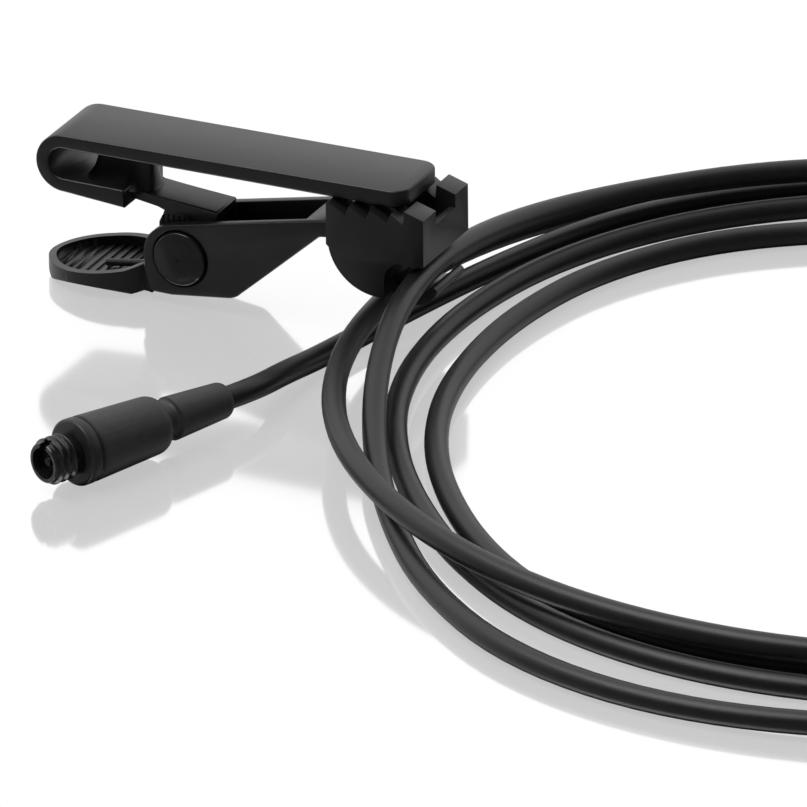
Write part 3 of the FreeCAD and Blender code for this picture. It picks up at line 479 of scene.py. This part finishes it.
# moulded copy: level faces are joined, then every sharp edge outside the kept boxes gets its radius
def softened(name, radius, angle, kept):
    piece = merged(name, "_moulded")
    if name == "upper_arm":
        shaveWeb(piece)
    shell = bmesh.new()
    shell.from_mesh(piece.data)
    bmesh.ops.dissolve_limit(shell, angle_limit=math.radians(moulding["flat"]),
                             verts=shell.verts, edges=shell.edges)
    weight = shell.edges.layers.float.new("bevel_weight_edge")
    for edge in shell.edges:
        middle = (edge.verts[0].co + edge.verts[1].co) / 2 / mm
        left = any(x0 < middle.x < x1 and abs(middle.y) < half and z0 < middle.z < z1
                   for x0, x1, half, z0, z1 in kept)
        if len(edge.link_faces) == 2 and edge.calc_face_angle() > math.radians(angle) and not left:
            edge[weight] = 1.0
    shell.to_mesh(piece.data)
    shell.free()
    bevel = piece.modifiers.new("edge radius", "BEVEL")
    bevel.width = radius * mm
    bevel.segments = moulding["segments"]
    bevel.limit_method = "WEIGHT"
    bevel.use_clamp_overlap = not kept
    selectOnly(piece)
    bpy.ops.object.modifier_apply(modifier=bevel.name)
    bpy.ops.object.shade_smooth_by_angle(angle=math.radians(moulding["smooth"]))
    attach(piece, nodes[name]["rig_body"])
    return piece


# the spring: a merged copy of the node, shaded smooth, with its place baked into the mesh
def woundSpring():
    spring = merged("torsion_spring", "_wound")
    bpy.ops.object.shade_smooth_by_angle(angle=math.radians(moulding["wireSmooth"]))
    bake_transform(spring)


webGusset()
woundSpring()
moulded = {name: softened(name, *settings) for name, settings in edges.items()}
plugPieces = [moulded[name] for name in ("plug_threaded_nose", "plug_collar", "plug_body",
                                         "plug_strain_relief")]
plugPieces += [nodes[name] for name in ("plug_insulator", "plug_centre_contact", "plug_ferrule")]
print("edges softened, cord laid on", len(route), "points")

# floor, lamps and backdrop: a glossy white table before a white backdrop, in a dark room. The camera
# sees the table lifted by some glow, and the backdrop as white
studio = {
    "table": 6,  # metres
    "level": 0.30,  # of the table's white paint
    "matte": 0.6,
    "shine": 0.58,
    "blur": 0.09,
    "lift": 0.30,
    "glow": 1.72,
    "front": 0.07,
    "back": 1.0,
    "seam": (-0.1, 0.4),  # where the dark room turns into backdrop, as cosines
    "lit": (0.04, 0, 0),
    # place and size in metres, power in watts
    "boxes": {
        "top softbox": ((-0.25, -0.30, 0.95), (0.8, 0.6), 6.5),
        "side softbox": ((-0.8, -0.5, 0.5), (0.6, 0.6), 0.3),
    },
}
white = (1.0, 1.0, 1.0)
bpy.ops.object.select_all(action="DESELECT")
bpy.ops.mesh.primitive_plane_add(size=studio["table"], location=(0, 0, 0))
floor = bpy.context.object
floor.name = "floor"
table = Surface("glossy white table", Roughness=studio["matte"])
table.feed(table.skin, {"Base Color": (studio["level"],) * 3})
plain = Value(table, table.skin.outputs["BSDF"])
mirror = table.node("ShaderNodeBsdfGlossy", {}, {"Color": white, "Roughness": studio["blur"]})
coated = table.node("ShaderNodeMixShader", {}, {0: studio["shine"], 1: plain, 2: mirror["BSDF"]})
glow = table.node("ShaderNodeEmission", {}, {"Color": white, "Strength": studio["glow"]})
ray = table.node("ShaderNodeLightPath", {}, {})
shown = table.node("ShaderNodeMixShader", {}, {0: ray["Is Camera Ray"] * studio["lift"],
                                               1: coated["Shader"], 2: glow["Emission"]})
table.feed(table.out, {"Surface": shown["Shader"]})
floor.data.materials.append(table.material)

scene.world = bpy.data.worlds.new("studio")
scene.world.use_nodes = True
sky = scene.world.node_tree


def skyLight(strength):
    light = sky.nodes.new("ShaderNodeBackground")
    light.inputs["Strength"].default_value = strength
    light.inputs["Color"].default_value = (*white, 1)
    return light.outputs["Background"]


def skyMix(factor, first, second):
    mixed = sky.nodes.new("ShaderNodeMixShader")
    sky.links.new(factor, mixed.inputs["Fac"])
    sky.links.new(first, mixed.inputs[1])
    sky.links.new(second, mixed.inputs[2])
    return mixed.outputs["Shader"]


away = (aim - place) * Vector((1, 1, 0))
facing = sky.nodes.new("ShaderNodeVectorMath")
facing.operation = "DOT_PRODUCT"
sky.links.new(sky.nodes.new("ShaderNodeTexCoord").outputs["Generated"], facing.inputs[0])
facing.inputs[1].default_value = away.normalized()
fade = sky.nodes.new("ShaderNodeMapRange")
fade.interpolation_type = "SMOOTHSTEP"
fade.inputs["From Min"].default_value, fade.inputs["From Max"].default_value = studio["seam"]
sky.links.new(facing.outputs["Value"], fade.inputs["Value"])
room = skyMix(fade.outputs["Result"], skyLight(studio["front"]), skyLight(studio["back"]))
skyRay = sky.nodes.new("ShaderNodeLightPath")
sky.links.new(skyMix(skyRay.outputs["Is Camera Ray"], room, skyLight(1.0)),
              sky.nodes["World Output"].inputs["Surface"])


def softbox(name, at, size, power):
    lamp = bpy.data.lights.new(name, "AREA")
    lamp.shape = "RECTANGLE"
    lamp.size, lamp.size_y = size
    lamp.energy = power
    box = bpy.data.objects.new(name, lamp)
    scene.collection.objects.link(box)
    box.location = at
    box.rotation_euler = (Vector(studio["lit"]) - Vector(at)).to_track_quat("-Z", "Y").to_euler()


for name, settings in studio["boxes"].items():
    softbox(name, *settings)
scene.view_settings.view_transform = "Standard"

bpy.context.view_layer.update()
